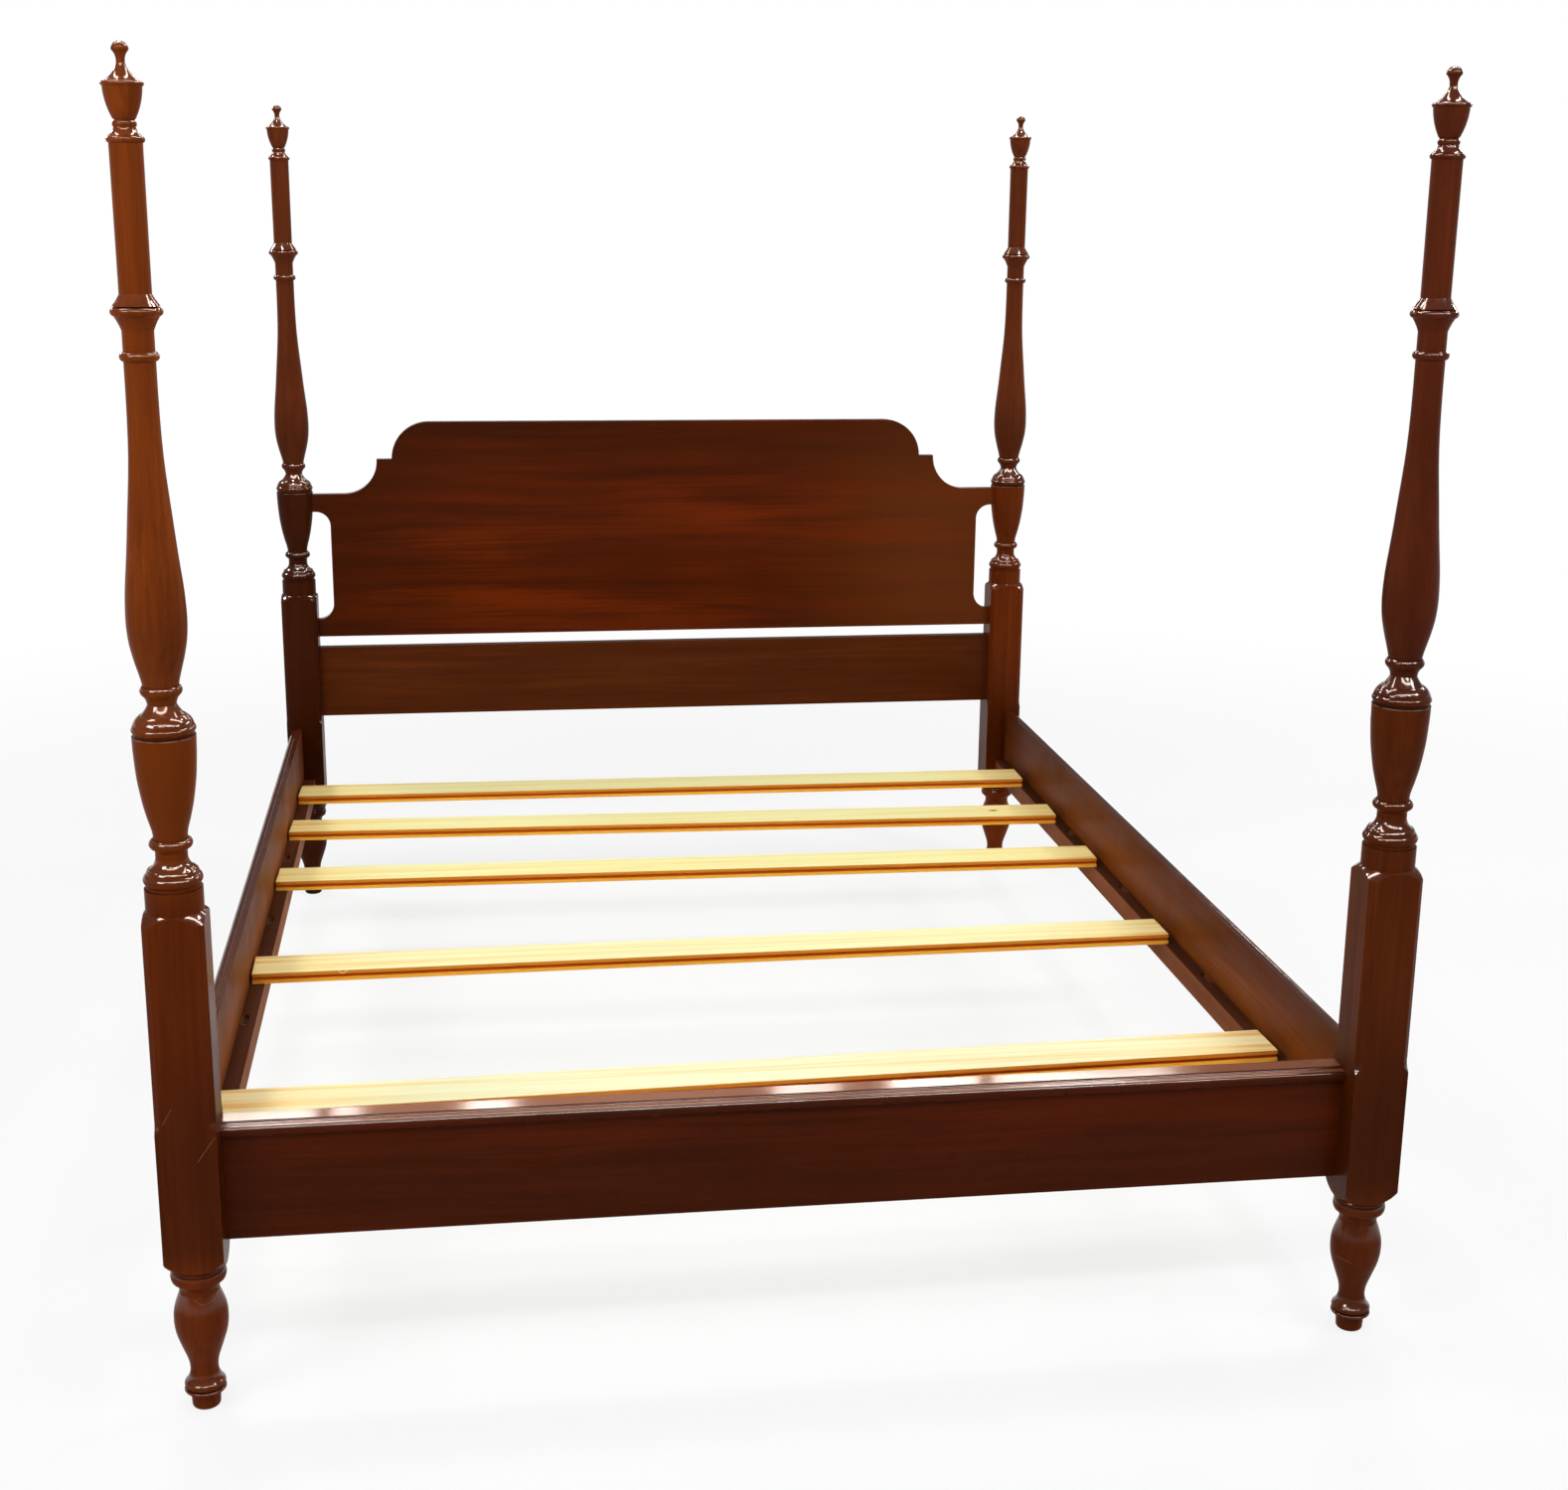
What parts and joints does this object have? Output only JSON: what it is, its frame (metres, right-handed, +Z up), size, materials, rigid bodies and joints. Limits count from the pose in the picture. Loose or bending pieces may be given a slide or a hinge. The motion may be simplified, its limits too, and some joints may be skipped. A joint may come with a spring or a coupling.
{
  "type": "four-poster bed",
  "caption": "Four-poster bed frame with turned posts and lift-off urn finials, a shaped headboard, moulded rails and loose slats that carry a mattress.",
  "frame": {"origin": "on the floor, in the middle of the bed between the posts", "axes": "+Z up, +Y along the bed towards the headboard, +X to the right as seen from the foot"},
  "size_m": [1.6748, 2.2328, 1.73],
  "materials": {
    "turned_mahogany": "gloss varnish",
    "rail_mahogany": "gloss varnish",
    "panel_mahogany": "gloss varnish",
    "pine": "bare planed wood",
    "steel": "zinc plated"
  },
  "bodies": {
    "bed_frame": {"lower_post_foot_left": "turned_mahogany", "lower_post_foot_right": "turned_mahogany", "lower_post_head_left": "turned_mahogany", "lower_post_head_right": "turned_mahogany", "upper_post_foot_left": "turned_mahogany", "upper_post_foot_right": "turned_mahogany", "upper_post_head_left": "turned_mahogany", "upper_post_head_right": "turned_mahogany", "foot_rail": "rail_mahogany", "side_rail_left": "rail_mahogany", "side_rail_right": "rail_mahogany", "head_cross_rail": "rail_mahogany", "ledger_left": "rail_mahogany", "ledger_right": "rail_mahogany", "headboard_panel": "panel_mahogany", "keeper_plate_foot_left": "steel", "keeper_plate_foot_right": "steel", "keeper_plate_head_left": "steel", "keeper_plate_head_right": "steel", "hook_plate_foot_left": "steel", "hook_plate_foot_right": "steel", "hook_plate_head_left": "steel", "hook_plate_head_right": "steel", "post_studs": "steel", "finial_pins": "steel", "keeper_plate_screws": "steel", "hook_plate_screws": "steel", "ledger_screws": "steel"},
    "slat_1_body": {"slat_1": "pine"},
    "slat_2_body": {"slat_2": "pine"},
    "slat_3_body": {"slat_3": "pine"},
    "slat_4_body": {"slat_4": "pine"},
    "slat_5_body": {"slat_5": "pine"},
    "finial_foot_left_body": {"finial_foot_left": "turned_mahogany"},
    "finial_foot_right_body": {"finial_foot_right": "turned_mahogany"},
    "finial_head_left_body": {"finial_head_left": "turned_mahogany"},
    "finial_head_right_body": {"finial_head_right": "turned_mahogany"}
  },
  "joints": [
    {"name": "slat_1_lift", "type": "slide", "parent": "bed_frame", "child": "slat_1_body", "axis": [0, 0, 1], "range_m": [0, 0.16]},
    {"name": "slat_2_lift", "type": "slide", "parent": "bed_frame", "child": "slat_2_body", "axis": [0, 0, 1], "range_m": [0, 0.16]},
    {"name": "slat_3_lift", "type": "slide", "parent": "bed_frame", "child": "slat_3_body", "axis": [0, 0, 1], "range_m": [0, 0.16]},
    {"name": "slat_4_lift", "type": "slide", "parent": "bed_frame", "child": "slat_4_body", "axis": [0, 0, 1], "range_m": [0, 0.16]},
    {"name": "slat_5_lift", "type": "slide", "parent": "bed_frame", "child": "slat_5_body", "axis": [0, 0, 1], "range_m": [0, 0.16]},
    {"name": "finial_foot_left_lift", "type": "slide", "parent": "bed_frame", "child": "finial_foot_left_body", "axis": [0, 0, 1], "range_m": [0, 0.05]},
    {"name": "finial_foot_right_lift", "type": "slide", "parent": "bed_frame", "child": "finial_foot_right_body", "axis": [0, 0, 1], "range_m": [0, 0.05]},
    {"name": "finial_head_left_lift", "type": "slide", "parent": "bed_frame", "child": "finial_head_left_body", "axis": [0, 0, 1], "range_m": [0, 0.05]},
    {"name": "finial_head_right_lift", "type": "slide", "parent": "bed_frame", "child": "finial_head_right_body", "axis": [0, 0, 1], "range_m": [0, 0.05]}
  ]
}
